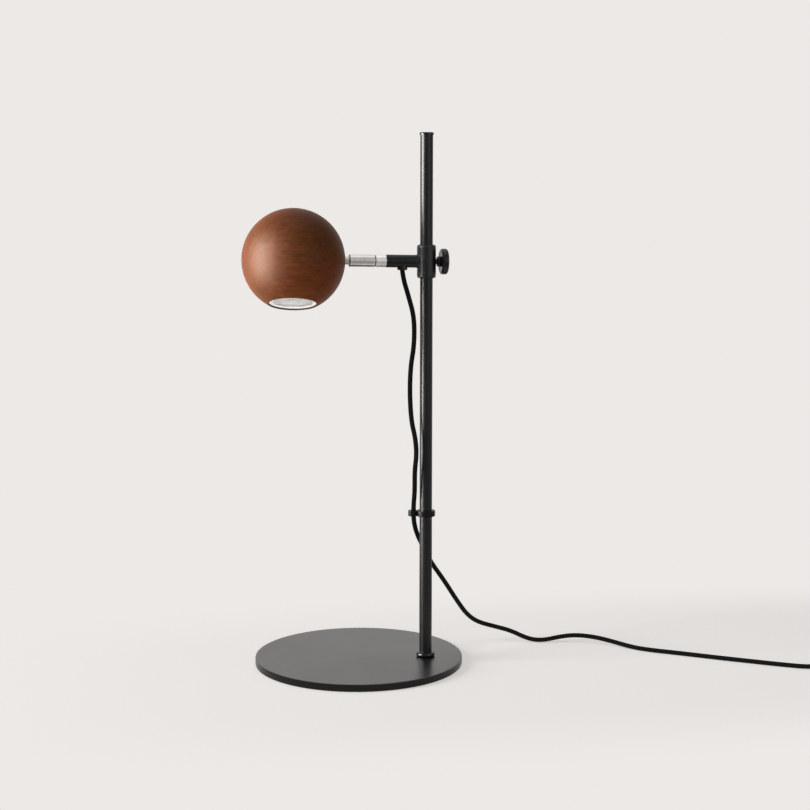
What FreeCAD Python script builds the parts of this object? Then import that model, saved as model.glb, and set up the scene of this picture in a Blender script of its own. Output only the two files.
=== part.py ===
import FreeCAD, Part
import math
import os

# Table lamp with a turned wooden ball head on a swing arm.  Millimetres, +Z up.
# The origin is the centre of the base's underside, on the surface it stands on.
# The arm points along -X from the stem and rises a little towards the head.  The ball's
# centre lies on the arm's axis.

Vector = FreeCAD.Vector
UP = Vector(0, 0, 1)
SIDE = Vector(0, 1, 0)
OUT = Vector(1, 0, 0)

# ---- driving dimensions: shared ----
FIT = 0.05                   # running clearance on the radius
PRESS = 0.02                 # clearance of parts that are pressed or glued together
EDGE = 0.4                   # small edge rounding
OVER = 1.0                   # how far a cutting tool runs past a face

# ---- driving dimensions: stand ----
BASE_R = 100.0
BASE_TOP = 7.3
BASE_EDGE = 0.8
PAD_PROUD = 0.3
PAD_THICK = 1.5
PAD_R = 95.0
STEM_OFFSET = 64.7           # stem axis from the base's centre
REST_SWING = 13.6            # degrees between the arm and the line from stem to base centre
STEM_R = 6.0
STEM_BORE_R = 4.8
STEM_LENGTH = 498.0
CAP_R = 6.65
CAP_THICK = 2.5
COLLAR_R = 9.1
COLLAR_HEIGHT = 4.0
INSERT_BORE_R = 4.0
INSERT_TOP = 32.0
BOLT_R = 3.95
BOLT_TOP = 24.0
BOLT_HEAD_R = 6.8
BOLT_HEAD_LOW = 1.7
BOLT_HEAD_TOP = 4.1
WASHER_R = 10.0
WASHER_TOP = 5.3
CLIP_Z = 147.7
CLIP_HEIGHT = 5.5
CLIP_R = 9.0
CLIP_EYE_R = 4.4
CLIP_WEB = 4.4
EYE_REACH = 12.5             # stem axis to the centre of the cord's eye
CLIP_REACH = 11.8            # stem axis to the cord in the eye
VIEW_TURN = 10.28            # degrees from +X to the direction in which the cord lies out

# ---- driving dimensions: clamp, arm and thumb screw ----
ARM_Z = 388.0                # where the arm's axis crosses the stem's
ARM_RISE = 1.0               # degrees that the arm rises towards the head
CLAMP_R = 8.9
CLAMP_HEIGHT = 31.4
LINER_R = 6.7
LINER_BORE_R = 6.05
LINER_HEIGHT = 29.4
LINER_SEAT = 30.0
ARM_R = 6.0
ARM_BORE_R = 4.5
BOSS_END = 11.2              # distances along the arm, from the stem's axis
SPIGOT_END = 17.0
GLAND_AT = 22.9
ARM_END = 38.5
GLAND_R = 4.8
GLAND_NECK_R = 3.05
GLAND_DROP = 2.2
WIRE_R = 0.6
KNOB_R = 12.15
KNOB_NEAR = 13.3             # distances from the stem's axis, on the side away from the arm
KNOB_FAR = 20.2
HUB_NEAR = 9.8
HUB_R = 4.8
SCREW_R = 2.5
SCREW_NEAR = 8.05
SCREW_FAR = 17.0
PAD_FACE = 6.8
PAD_PIN_R = 0.9

# ---- driving dimensions: magnetic swivel coupling ----
COUPLING_R = 5.75
RING_START = 30.5
RING_END = 48.7
SLEEVE_START = 49.3
SLEEVE_END = 73.5
MAGNET_R = 4.6
MAGNET_THICK = 3.0
PIN_R = 2.2
PIN_BORE_R = 1.5
PIN_START = 40.0
PIN_END = 63.0
GROOVE_START = 61.5
GROOVE_WIDE = 0.8
GROOVE_DEEP = 0.4
NECK_R = 3.7
NECK_BORE_R = 2.4
NECK_SEAT = 61.0             # where the sleeve widens for the neck tube

# ---- driving dimensions: head ----
HEAD_REACH = 125.4           # stem axis to the ball's centre
BALL_R = 48.0
MOUTH_DEPTH = 42.1           # ball centre to the flat mouth
HEAD_ROLL = 18.2             # degrees that the mouth leans towards -Y
HEAD_LEAN = 2.3              # degrees that the mouth leans along the arm, away from the stem
CAVITY_R = 20.5
CAVITY_TOP = 22.0
NUT_SEAT_R = 8.0
NUT_NEAR = 18.5
NUT_THICK = 3.0
BEZEL_R = 22.2
BEZEL_LIP_R = 18.6
BEZEL_LOW = -40.9             # the trim ring sits a little inside the mouth
BEZEL_TOP = -37.9
LEDGE_Z = -35.9
CUP_R = 20.2
CUP_BORE_R = 18.9
CUP_TOP = -24.4
LENS_R = 19.3
LENS_LOW = -40.2
LENS_TOP = -38.2
BOARD_TOP = -24.3
BOARD_THICK = 1.2
EMITTER_R = 5.0
SINK_R = 18.6
SINK_FLOOR = -20.5
SINK_TOP = -8.0
BRACKET_X = 27.0
BRACKET_Y = 21.0
BRACKET_WALL = 1.5
DRIVER_Z = 10.0

# ---- driving dimensions: cord, switch and plug ----
CORD_R = 2.25
CORD_Z = 2.25
RELIEF_LENGTH = 22.0
RELIEF_TIP_R = 2.9
SWITCH_TURN = -12.0
SWITCH_AT = Vector(503.0, -122.7, 0)
SWITCH_LENGTH = 62.0
SWITCH_WIDTH = 27.0
SWITCH_HEIGHT = 17.0
SWITCH_SPLIT = 8.5
SWITCH_WALL = 1.7
SWITCH_CORD_Z = 6.6
ENTRY_R = 3.4                # hole that takes a strain relief's neck
ROCKER_Z = 12.2
ROCKER_TILT = 8.0
ROCKER_X = 9.9               # half its length
ROCKER_Y = 5.7               # half its width
ROCKER_PIN_R = 1.0
SWITCH_SCREW_X = 22.0
SWITCH_SCREW_Y = 8.0
COIL_AT = Vector(586.0, -111.0, 0)
COIL_INNER_R = 23.8          # centre line radius of the inner column of turns
COIL_OUTER_R = 28.3
COIL_LIFT = 0.9
COIL_ROWS = 3
TIE_WIDE = 8.0
PLUG_AT = Vector(611.0, -33.0, 0)
PLUG_WIDTH = 35.5
PLUG_THICK = 13.8
PLUG_LENGTH = 34.0
PIN_SPACING = 18.6
PIN_LENGTH = 19.0
PLUG_PIN_R = 2.0
PIN_ROOT_R = 1.3
PIN_SLEEVE_R = 1.65
PIN_BARE = 9.0               # metal length beyond the insulating sleeve
PIN_DEEP = 7.0               # how far the sleeve sits inside the plug

STEM = Vector(
    STEM_OFFSET * math.cos(math.radians(REST_SWING)),
    -STEM_OFFSET * math.sin(math.radians(REST_SWING)),
    0,
)
ARM_TILT = FreeCAD.Rotation(SIDE, ARM_RISE)
RELIEF_TIP = SWITCH_LENGTH / 2 + RELIEF_LENGTH
COIL_TOP_Z = COIL_LIFT + 2 * CORD_R * COIL_ROWS


# ---- shared geometry ----
def rod(radius, start, end):
    """Solid round bar between two points."""
    run = end - start
    return Part.makeCylinder(radius, run.Length, start, run)


def tube(outer, inner, start, end):
    """Round bar with a bore right through it."""
    step = (end - start).normalize() * OVER
    return rod(outer, start, end).cut(rod(inner, start - step, end + step))


def box(size_x, size_y, low_z, high_z, x=0.0, y=0.0):
    """Box centred on x, y between two heights."""
    corner = Vector(x - size_x / 2, y - size_y / 2, low_z)
    return Part.makeBox(size_x, size_y, high_z - low_z, corner)


def prism(points, run):
    """Flat outline pushed along a vector."""
    return Part.Face(Part.makePolygon(points + points[:1])).extrude(run)


def hexagon(corner_r, centre, across, along):
    """Six corners in the plane of two directions."""
    angles = [k * math.pi / 3 for k in range(6)]
    return [centre + across * (corner_r * math.cos(a)) + along * (corner_r * math.sin(a)) for a in angles]


def turned(profile, centre=Vector(0, 0, 0), axis=UP):
    """Solid of revolution: profile is a closed list of (radius, height) about an axis."""
    points = [Vector(r, 0, h) for r, h in profile]
    wire = Part.makePolygon(points + points[:1])
    solid = Part.Face(wire).revolve(Vector(0, 0, 0), UP, 360)
    solid.Placement = FreeCAD.Placement(centre, FreeCAD.Rotation(UP, axis))
    return solid


def circles(shape, radius):
    """Circular edges of one radius."""
    return [
        edge for edge in shape.Edges
        if edge.Curve.TypeId == "Part::GeomCircle" and abs(edge.Curve.Radius - radius) < 0.01
    ]


def soften(shape, radius, size):
    """Round every circular edge that has this radius."""
    return shape.makeFillet(size, circles(shape, radius))


def round_uprights(shape, size):
    return shape.makeFillet(size, [edge for edge in shape.Edges if abs(edge.tangentAt(0).z) > 0.9])


def round_rims(shape, size):
    return shape.makeFillet(size, [edge for edge in shape.Edges if abs(edge.tangentAt(0).z) < 0.1])


def carried(shape, centre, rotation):
    """Copy turned about the origin and then moved by centre."""
    copy = shape.copy()
    copy.Placement = FreeCAD.Placement(centre, rotation).multiply(copy.Placement)
    return copy


def placed(shape, centre, turn=0.0):
    """Copy turned about Z and carried to a point."""
    return carried(shape, centre, FreeCAD.Rotation(UP, turn))


def joined(shapes):
    """Several separate solids in one node."""
    return Part.makeCompound(shapes)


def at_stem(height):
    return Vector(STEM.x, STEM.y, height)


def on_arm(distance, across=0.0, rise=0.0):
    """Point by the arm's axis: negative distances lie on the thumb screw's side."""
    return at_stem(ARM_Z) + ARM_TILT.multVec(Vector(-distance, across, rise))


def by_neck(shape):
    """Copy carried from the ball's own frame, where the neck lies along X, to the lamp."""
    roll = FreeCAD.Rotation(OUT, -HEAD_ROLL)
    return carried(shape, on_arm(HEAD_REACH), ARM_TILT.multiply(roll))


def in_head(shape):
    """As by_neck, for what follows the mouth: before it leans, the mouth faces -Z."""
    lean = FreeCAD.Rotation(SIDE, HEAD_LEAN)
    return by_neck(carried(shape, Vector(0, 0, 0), lean))


def on_floor(shape):
    """Copy carried from the switch's own frame, where its length lies along X."""
    return placed(shape, SWITCH_AT, SWITCH_TURN)


def wire_bar(route):
    """Insulated conductor along short straight runs with ball-shaped bends."""
    bar = rod(WIRE_R, route[0], route[1])
    for start, end in zip(route[1:], route[2:]):
        bar = bar.fuse(Part.makeSphere(WIRE_R, start)).fuse(rod(WIRE_R, start, end))
    return bar.removeSplitter()


# ---- cord routes ----
def lie(sideways, behind, height):
    """Cord point: sideways and behind are measured from the stem, turned by VIEW_TURN."""
    turn = math.radians(VIEW_TURN)
    x = STEM.x + sideways * math.cos(turn) + behind * math.sin(turn)
    y = STEM.y - sideways * math.sin(turn) + behind * math.cos(turn)
    return Vector(x, y, height)


def switch_point(along, height=SWITCH_CORD_Z):
    """Point on the in-line switch's long axis."""
    turn = math.radians(SWITCH_TURN)
    return SWITCH_AT + Vector(along * math.cos(turn), along * math.sin(turn), height)


CORD_TOP = on_arm(GLAND_AT, 0, -ARM_R - GLAND_DROP)
CORD_MIDDLE = lie(-11.35, -6.0, 323.0)
CLIP_EYE = lie(-CLIP_REACH, 0.0, CLIP_Z)

UPPER_ROUTE = [
    CORD_TOP,
    lie(-21.8, -4.4, 372.3),
    lie(-16.9, -5.4, 356.0),
    lie(-11.4, -5.8, 336.0),
    CORD_MIDDLE,
]
DROP_ROUTE = [
    CORD_MIDDLE,
    lie(-11.3, -6.2, 310.0),
    lie(-14.7, -5.2, 290.0),
    lie(-15.6, -3.8, 264.0),
    lie(-14.0, -5.0, 237.0),
    lie(-10.2, -8.4, 222.0),
    lie(-8.9, -9.4, 206.0),
    lie(-10.8, -7.2, 190.0),
    lie(-10.6, -5.2, 170.0),
    lie(-11.6, -0.7, 158.0),
    CLIP_EYE,
]
FLOOR_ROUTE = [
    CLIP_EYE,
    lie(-11.2, 1.8, 137.0),
    lie(-8.1, 9.2, 124.5),
    lie(-2.2, 15.4, 111.5),
    lie(5.0, 22.4, 95.0),
    lie(18.0, 34.5, 74.5),
    lie(32.0, 52.5, 48.5),
    lie(42.5, 66.5, 30.8),
    lie(53.8, 78.5, 20.1),
    lie(69.0, 87.0, 13.8),
    lie(87.0, 84.5, 9.8),
    lie(102.5, 77.6, 3.9),
    lie(113.0, 73.9, 2.4),
    lie(124.0, 74.1, 3.0),
    lie(138.0, 77.8, 5.2),
    lie(153.5, 77.5, 6.9),
    lie(172.0, 73.0, 6.0),
    lie(190.0, 64.4, 3.5),
    lie(207.0, 48.0, CORD_Z),
    lie(226.0, 36.8, CORD_Z),
    lie(250.0, 27.2, CORD_Z),
    lie(280.0, 13.6, CORD_Z),
    lie(310.5, 0.7, CORD_Z),
    lie(342.0, -12.2, CORD_Z),
    lie(366.0, -21.0, 2.4),
    lie(382.0, -23.4, 4.6),
    switch_point(-RELIEF_TIP),
]
SUPPLY_ROUTE = [
    switch_point(RELIEF_TIP),
    switch_point(RELIEF_TIP + 8.0, 6.2),
    switch_point(RELIEF_TIP + 16.5, 4.2),
    COIL_AT + Vector(-6.0, -COIL_OUTER_R, CORD_Z + COIL_LIFT),
]
TAIL_ROUTE = [
    COIL_AT + Vector(COIL_INNER_R - 1.0, -9.0, COIL_TOP_Z + CORD_R + 0.4),
    COIL_AT + Vector(COIL_INNER_R + 1.2, 3.0, COIL_TOP_Z + CORD_R + 0.4),
    COIL_AT + Vector(COIL_INNER_R + 2.6, 18.0, COIL_TOP_Z + CORD_R - 2.5),
    COIL_AT + Vector(COIL_INNER_R + 1.8, 33.0, COIL_TOP_Z - 5.0),
    PLUG_AT + Vector(0, -PLUG_LENGTH / 2 - RELIEF_LENGTH, PLUG_THICK / 2),
]


def cord_tube(name, route):
    """Round bar along straight runs joined by tangent arcs, as large as the runs allow."""
    edges = []
    start = route[0]
    smallest = math.inf
    for before, corner, after in zip(route, route[1:], route[2:]):
        back = before - corner
        ahead = after - corner
        half_turn = (math.pi - back.getAngle(ahead)) / 2
        reach = 0.45 * min(back.Length, ahead.Length)
        arc_r = reach / math.tan(half_turn)
        smallest = min(smallest, arc_r)
        back.normalize()
        ahead.normalize()
        enter = corner + back * reach
        leave = corner + ahead * reach
        middle = (back + ahead).normalize()
        centre = corner + middle * (arc_r / math.cos(half_turn))
        edges.append(Part.LineSegment(start, enter).toShape())
        edges.append(Part.Arc(enter, centre - middle * arc_r, leave).toShape())
        start = leave
    edges.append(Part.LineSegment(start, route[-1]).toShape())
    path = Part.Wire(edges)
    ring = Part.Wire([Part.makeCircle(CORD_R, route[0], route[1] - route[0])])
    solid = path.makePipeShell([ring], True, False)
    section = math.pi * CORD_R ** 2
    print(f"{name}: length {path.Length:.1f}, smallest radius {smallest:.1f}, "
          f"volume/section*length {solid.Volume / (section * path.Length):.4f}")
    return solid


# ---- stand ----
def base_plate():
    plate = rod(BASE_R, Vector(0, 0, PAD_PROUD), Vector(0, 0, BASE_TOP))
    plate = soften(plate, BASE_R, BASE_EDGE)
    recess = rod(PAD_R + EDGE, Vector(0, 0, -OVER), Vector(0, 0, PAD_THICK))
    washer_seat = rod(WASHER_R + OVER, at_stem(0), at_stem(WASHER_TOP))
    bolt_hole = rod(BOLT_R + 0.35, at_stem(0), at_stem(BASE_TOP + OVER))
    return plate.cut(recess).cut(washer_seat).cut(bolt_hole)


def base_pad():
    return rod(PAD_R, Vector(0, 0, 0), Vector(0, 0, PAD_THICK))


def base_washer():
    return tube(WASHER_R, BOLT_R + 0.25, at_stem(BOLT_HEAD_TOP), at_stem(WASHER_TOP))


def base_screw():
    """Hexagon socket bolt that holds the stem to the base from below."""
    socket_r = 2.9
    socket_top = 3.4
    head = rod(BOLT_HEAD_R, at_stem(BOLT_HEAD_LOW), at_stem(BOLT_HEAD_TOP))
    head = soften(head, BOLT_HEAD_R, EDGE)
    shank = rod(BOLT_R, at_stem(socket_top), at_stem(BOLT_TOP))
    socket = prism(hexagon(socket_r, at_stem(0), OUT, SIDE), UP * socket_top)
    return head.fuse(shank).cut(socket).removeSplitter()


def foot_insert():
    return tube(STEM_BORE_R - PRESS, INSERT_BORE_R, at_stem(BASE_TOP), at_stem(INSERT_TOP))


def foot_collar():
    ring = tube(COLLAR_R, STEM_R + FIT, at_stem(BASE_TOP), at_stem(BASE_TOP + COLLAR_HEIGHT))
    return soften(ring, COLLAR_R, COLLAR_HEIGHT / 2 - 0.1)


def stem_tube():
    return tube(STEM_R, STEM_BORE_R, at_stem(BASE_TOP), at_stem(BASE_TOP + STEM_LENGTH))


def stem_cap():
    plug_length = 11.0
    crown = 1.1
    low = BASE_TOP + STEM_LENGTH
    flange = rod(CAP_R, at_stem(low), at_stem(low + CAP_THICK))
    top = [edge for edge in circles(flange, CAP_R) if edge.CenterOfMass.z > low + OVER]
    flange = flange.makeFillet(crown, top)
    plug = rod(STEM_BORE_R - PRESS, at_stem(low - plug_length), at_stem(low + EDGE))
    return flange.fuse(plug).removeSplitter()


def cable_clip():
    """Collar pressed on the stem with an eye that holds the cord."""
    half = UP * (CLIP_HEIGHT / 2)
    middle = at_stem(CLIP_Z)
    eye = lie(-EYE_REACH, 0.0, CLIP_Z)
    body = rod(CLIP_R, middle - half, middle + half).fuse(rod(CLIP_EYE_R, eye - half, eye + half))
    web = box(EYE_REACH, CLIP_WEB, -half.z, half.z, -EYE_REACH / 2)
    body = body.fuse(placed(web, middle, -VIEW_TURN)).removeSplitter()
    rims = [edge for edge in body.Edges if abs(edge.CenterOfMass.z - CLIP_Z) > half.z - 0.01]
    body = body.makeFillet(0.7, rims)
    past = half + UP * OVER
    body = body.cut(rod(STEM_R, middle - past, middle + past))
    return body.cut(rod(CORD_R + FIT, CLIP_EYE - past, CLIP_EYE + past))


# ---- clamp, arm and thumb screw ----
def clamp_liner():
    """Split plastic sleeve that slides on the stem."""
    low = ARM_Z - LINER_HEIGHT / 2
    high = ARM_Z + LINER_HEIGHT / 2
    wall = LINER_R - LINER_BORE_R
    sleeve = tube(LINER_R, LINER_BORE_R, at_stem(low), at_stem(high))
    slit = box(2 * wall, 4 * wall, low - OVER, high + OVER, 0, LINER_R - wall / 2)
    return sleeve.cut(placed(slit, STEM))


def clamp_body():
    corner = 2.2
    root = 1.0
    half = UP * (CLAMP_HEIGHT / 2)
    middle = on_arm(0)
    body = rod(CLAMP_R, middle - half, middle + half)
    body = body.fuse(rod(ARM_R, middle, on_arm(BOSS_END))).removeSplitter()
    plain = ("Part::GeomCircle", "Part::GeomLine")
    seam = [edge for edge in body.Edges if edge.Curve.TypeId not in plain]
    body = body.makeFillet(root, seam)
    body = soften(body, CLAMP_R, corner)
    body = body.fuse(rod(ARM_BORE_R - PRESS, on_arm(BOSS_END - OVER), on_arm(SPIGOT_END)))
    seat = UP * (LINER_SEAT / 2)
    past = half + UP * OVER
    body = body.cut(rod(LINER_R + FIT, middle - seat, middle + seat))
    body = body.cut(rod(STEM_R + 0.35, middle - past, middle + past))
    return body.cut(rod(SCREW_R + FIT, on_arm(-STEM_R), on_arm(-CLAMP_R - OVER)))


def arm_tube():
    pipe = tube(ARM_R, ARM_BORE_R, on_arm(BOSS_END), on_arm(ARM_END))
    return pipe.cut(rod(GLAND_NECK_R + FIT, on_arm(GLAND_AT), on_arm(GLAND_AT, 0, -ARM_R - OVER)))


def cord_gland():
    """Grommet where the cord enters the arm from below."""
    low = -ARM_R - GLAND_DROP
    inside = on_arm(GLAND_AT, 0, 1 - ARM_BORE_R)
    flange = soften(rod(GLAND_R, on_arm(GLAND_AT, 0, low), inside), GLAND_R, EDGE)
    flange = flange.cut(rod(ARM_R, on_arm(BOSS_END), on_arm(ARM_END)))
    neck = rod(GLAND_NECK_R, on_arm(GLAND_AT, 0, low + EDGE), inside)
    bore = rod(CORD_R - FIT, on_arm(GLAND_AT, 0, low - OVER), on_arm(GLAND_AT))
    return flange.fuse(neck).cut(bore).removeSplitter()


def arm_wires():
    """Two conductors from the cord's end to the middle of the coupling pin."""
    spread = 0.7
    wires = []
    for side in (-spread, spread):
        wires.append(wire_bar([
            on_arm(GLAND_AT, side, -ARM_R - spread),
            on_arm(GLAND_AT + 0.6, side, -3.0),
            on_arm(GLAND_AT + 4.0, side, -0.6),
            on_arm(GLAND_AT + 9.0, side, 0.0),
            on_arm(PIN_END - 0.2, side, 0.0),
        ]))
    return joined(wires)


def coupling_ring():
    """Turned end of the arm: spigot, wire bore, pin seat and magnet seat."""
    ring = soften(rod(COUPLING_R, on_arm(ARM_END), on_arm(RING_END)), COUPLING_R, EDGE)
    ring = ring.fuse(rod(ARM_BORE_R - PRESS, on_arm(RING_START), on_arm(ARM_END + OVER)))
    ring = ring.cut(rod(PIN_BORE_R + 0.2, on_arm(RING_START - OVER), on_arm(RING_END + OVER)))
    ring = ring.cut(rod(PIN_R, on_arm(PIN_START), on_arm(RING_END + OVER)))
    return ring.cut(rod(MAGNET_R + PRESS, on_arm(RING_END - MAGNET_THICK), on_arm(RING_END + OVER)))


def arm_magnet():
    return tube(MAGNET_R, PIN_R + PRESS, on_arm(RING_END - MAGNET_THICK), on_arm(RING_END))


def coupling_washer():
    washer_r = 5.2
    return tube(washer_r, PIN_R + PRESS, on_arm(RING_END), on_arm(SLEEVE_START - PRESS))


def coupling_pin():
    pin = tube(PIN_R, PIN_BORE_R, on_arm(PIN_START), on_arm(PIN_END))
    groove_end = on_arm(GROOVE_START + GROOVE_WIDE)
    return pin.cut(tube(PIN_R + OVER, PIN_R - GROOVE_DEEP, on_arm(GROOVE_START), groove_end))


def pin_clip():
    """Open ring in the pin's groove that keeps the sleeve on the pin."""
    clip_r = 3.3
    mouth = 2.6
    start = GROOVE_START + FIT
    end = GROOVE_START + GROOVE_WIDE - FIT
    clip = tube(clip_r, PIN_R - GROOVE_DEEP + PRESS, on_arm(start), on_arm(end))
    return clip.cut(Part.makeBox(2.0, mouth, 5.0, on_arm(end + OVER / 2, -mouth / 2)))


def coupling_sleeve():
    low = on_arm(SLEEVE_START - OVER)
    sleeve = soften(rod(COUPLING_R, on_arm(SLEEVE_START), on_arm(SLEEVE_END)), COUPLING_R, EDGE)
    sleeve = sleeve.cut(rod(PIN_R + FIT, low, on_arm(NECK_SEAT + OVER)))
    sleeve = sleeve.cut(rod(MAGNET_R + PRESS, low, on_arm(SLEEVE_START + MAGNET_THICK)))
    return sleeve.cut(rod(NECK_R, on_arm(NECK_SEAT), on_arm(SLEEVE_END + OVER)))


def head_magnet():
    return tube(MAGNET_R, PIN_R + FIT, on_arm(SLEEVE_START), on_arm(SLEEVE_START + MAGNET_THICK))


def clamp_pad():
    """Brass button that the thumb screw presses against the liner."""
    face_r = SCREW_R - 0.2
    face = rod(face_r, on_arm(-PAD_FACE), on_arm(FIT - SCREW_NEAR))
    return face.fuse(rod(PAD_PIN_R, on_arm(-PAD_FACE - OVER), on_arm(-9.4))).removeSplitter()


def knob_screw():
    pin_hole_end = 9.8
    shank = soften(rod(SCREW_R, on_arm(-SCREW_NEAR), on_arm(-SCREW_FAR)), SCREW_R, EDGE / 2)
    return shank.cut(rod(PAD_PIN_R + FIT, on_arm(OVER - SCREW_NEAR), on_arm(-pin_hole_end)))


def thumb_knob():
    """Disc on a hub, with the rim's corners broken by flats."""
    bevel = 0.8
    near = KNOB_NEAR - HUB_NEAR
    far = KNOB_FAR - HUB_NEAR
    outline = [
        (0, 0), (HUB_R - bevel, 0), (HUB_R, bevel), (HUB_R, near + 0.6),
        (KNOB_R - 2 * bevel, near), (KNOB_R - EDGE, near + 0.6), (KNOB_R, near + 1.8),
        (KNOB_R, far - 2.2), (KNOB_R - EDGE, far - 1.0), (KNOB_R - 2 * bevel, far - 0.3),
        (HUB_R, far), (0, far),
    ]
    body = turned(outline, on_arm(-HUB_NEAR), ARM_TILT.multVec(OUT))
    return body.cut(rod(SCREW_R, on_arm(OVER - HUB_NEAR), on_arm(-SCREW_FAR)))


# ---- head: built in the ball's own frame, mouth facing -Z, neck along +X ----
def wood_ball():
    below = UP * -(BALL_R + OVER)
    ball = Part.makeSphere(BALL_R)
    ball = ball.cut(box(2 * BALL_R, 2 * BALL_R, below.z, -MOUTH_DEPTH))
    ball = ball.cut(rod(CAVITY_R, below, UP * CAVITY_TOP))
    ball = in_head(ball.cut(rod(BEZEL_R + 0.15, below, UP * LEDGE_Z)))
    inside = on_arm(HEAD_REACH - CAVITY_R / 2)
    ball = ball.cut(rod(NECK_R + FIT, inside, on_arm(HEAD_REACH - BALL_R - OVER)))
    return ball.cut(rod(NUT_SEAT_R, inside, on_arm(HEAD_REACH - NUT_NEAR - NUT_THICK)))


def neck_nipple():
    """Hollow threaded tube from the sleeve into the ball's cavity."""
    start = on_arm(PIN_END + 2.2)
    return tube(NECK_R - PRESS, NECK_BORE_R, start, on_arm(HEAD_REACH - NUT_NEAR + 1.3))


def neck_nut():
    corner_r = 6.9
    nut = prism(hexagon(corner_r, OUT * NUT_NEAR, SIDE, UP), OUT * NUT_THICK)
    return by_neck(nut.cut(rod(NECK_R, OUT * (NUT_NEAR - OVER), OUT * (NUT_NEAR + NUT_THICK + OVER))))


def lens_bezel():
    """Trim ring round the mouth with a lip under the lens."""
    bevel = 0.5
    inner = LENS_R + 0.1
    lip_top = LENS_LOW + 0.2
    return in_head(turned([
        (BEZEL_LIP_R, BEZEL_LOW + EDGE), (inner, BEZEL_LOW), (BEZEL_R - bevel, BEZEL_LOW),
        (BEZEL_R, BEZEL_LOW + bevel), (BEZEL_R, BEZEL_TOP), (inner, BEZEL_TOP), (inner, lip_top),
        (BEZEL_LIP_R, lip_top),
    ]))


def module_housing():
    """Flanged cup of the light module, with a window for each spring clip."""
    flange_low = BEZEL_TOP + 0.1
    cup = turned([
        (CUP_BORE_R, flange_low), (BEZEL_R, flange_low), (BEZEL_R, LEDGE_Z), (CUP_R, LEDGE_Z),
        (CUP_R, CUP_TOP), (CUP_BORE_R, CUP_TOP),
    ])
    for turn in (60, 180, 300):
        window = box(CUP_R - CUP_BORE_R, 6.6, LEDGE_Z + 1.5, CUP_TOP - 1.2, CUP_R)
        cup = cup.cut(placed(window, Vector(0, 0, 0), turn))
    return in_head(cup)


def spring_clips():
    """Three bowed leaves that grip the wall of the cavity."""
    wide = 5.0
    thick = 0.3
    bow = 0.47
    inner = CUP_BORE_R + 0.7
    low = LEDGE_Z + 1.7
    high = CUP_TOP - 1.4
    middle = (low + high) / 2
    outline = [(inner, low), (inner + thick, low), (inner + bow + thick, middle),
               (inner + thick, high), (inner, high), (inner + bow, middle)]
    leaf = prism([Vector(r, -wide / 2, z) for r, z in outline], SIDE * wide)
    return in_head(joined([placed(leaf, Vector(0, 0, 0), turn) for turn in (60, 180, 300)]))


def front_lens():
    """Low-domed round lens."""
    rim_low = LENS_LOW + 0.3
    return in_head(turned([
        (0, LENS_LOW), (5.0, LENS_LOW + 0.1), (12.0, rim_low), (LENS_R, rim_low),
        (LENS_R, LENS_TOP), (0, LENS_TOP),
    ]))


def reflector():
    """Thin flared cone between the emitter and the lens."""
    wall = 0.7
    low = LENS_TOP + 0.1
    inner = [(17.9, low), (15.0, -32.5), (10.8, -28.2), (EMITTER_R + 1.4, -26.0)]
    outer = [(r + wall, z + EDGE) for r, z in inner[:0:-1]]
    return in_head(turned(inner + outer + [(inner[0][0] + wall, low)]))


def led_board():
    low = BOARD_TOP - BOARD_THICK
    board = rod(12.0, UP * low, UP * BOARD_TOP)
    emitter = rod(EMITTER_R, UP * (low - 0.9), UP * low)
    return in_head(board.fuse(emitter).removeSplitter())


def heat_sink():
    """Round plate with nine upright fins."""
    fin = 1.8
    pitch = 4.2
    low = BOARD_TOP + 0.1
    sink = rod(SINK_R, UP * low, UP * SINK_FLOOR)
    envelope = rod(SINK_R, UP * low, UP * SINK_TOP)
    for k in range(-4, 5):
        blade = box(fin, 2 * SINK_R + OVER, SINK_FLOOR - EDGE, SINK_TOP, pitch * k)
        sink = sink.fuse(blade.common(envelope))
    return in_head(sink.removeSplitter())


def driver_bracket():
    """Plastic bridge that stands on the fins and carries the driver board."""
    low = SINK_TOP + 0.1
    bracket = box(BRACKET_X, BRACKET_Y, low, low + BRACKET_WALL)
    for side in (-1, 1):
        leg_x = side * (BRACKET_X - BRACKET_WALL) / 2
        bracket = bracket.fuse(box(BRACKET_WALL, BRACKET_Y, low, DRIVER_Z - FIT, leg_x))
    wire_gap = box(4 * BRACKET_WALL, 8.0, -4.0, 4.0, BRACKET_X / 2)
    return in_head(bracket.cut(wire_gap).removeSplitter())


def driver_board():
    board_top = DRIVER_Z + 1.6
    parts_top = board_top + 8.5
    board = box(BRACKET_X, BRACKET_Y, DRIVER_Z, board_top)
    transformer = box(9.0, 9.0, board_top, parts_top, -6.5)
    capacitor_at = Vector(6.5, 3.5, board_top)
    capacitor = rod(3.6, capacitor_at, capacitor_at + UP * 8.5)
    return in_head(board.fuse(transformer).fuse(capacitor).removeSplitter())


def terminal_block():
    block_x = -5.0
    low = SINK_TOP + 0.15 + BRACKET_WALL
    top = low + 8.6
    block = box(13.0, 9.0, low, top, block_x)
    for side in (-2.9, 2.9):
        screw_hole = Vector(block_x + side, 0, top - 2.6)
        block = block.cut(rod(1.5, screw_hole, screw_hole + UP * 4.0))
    return in_head(block)


def head_wires():
    """Two conductors from the neck tube to the terminal block."""
    spread = 0.75
    start = HEAD_REACH - PIN_END + 0.1
    wires = []
    for side in (-spread, spread):
        wires.append(wire_bar([
            Vector(start, side, 0), Vector(NUT_NEAR - 2.5, side, 0), Vector(9.0, side * 2, -1.2),
            Vector(2.2, side * 3, -2.8),
        ]))
    return by_neck(joined(wires))


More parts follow.
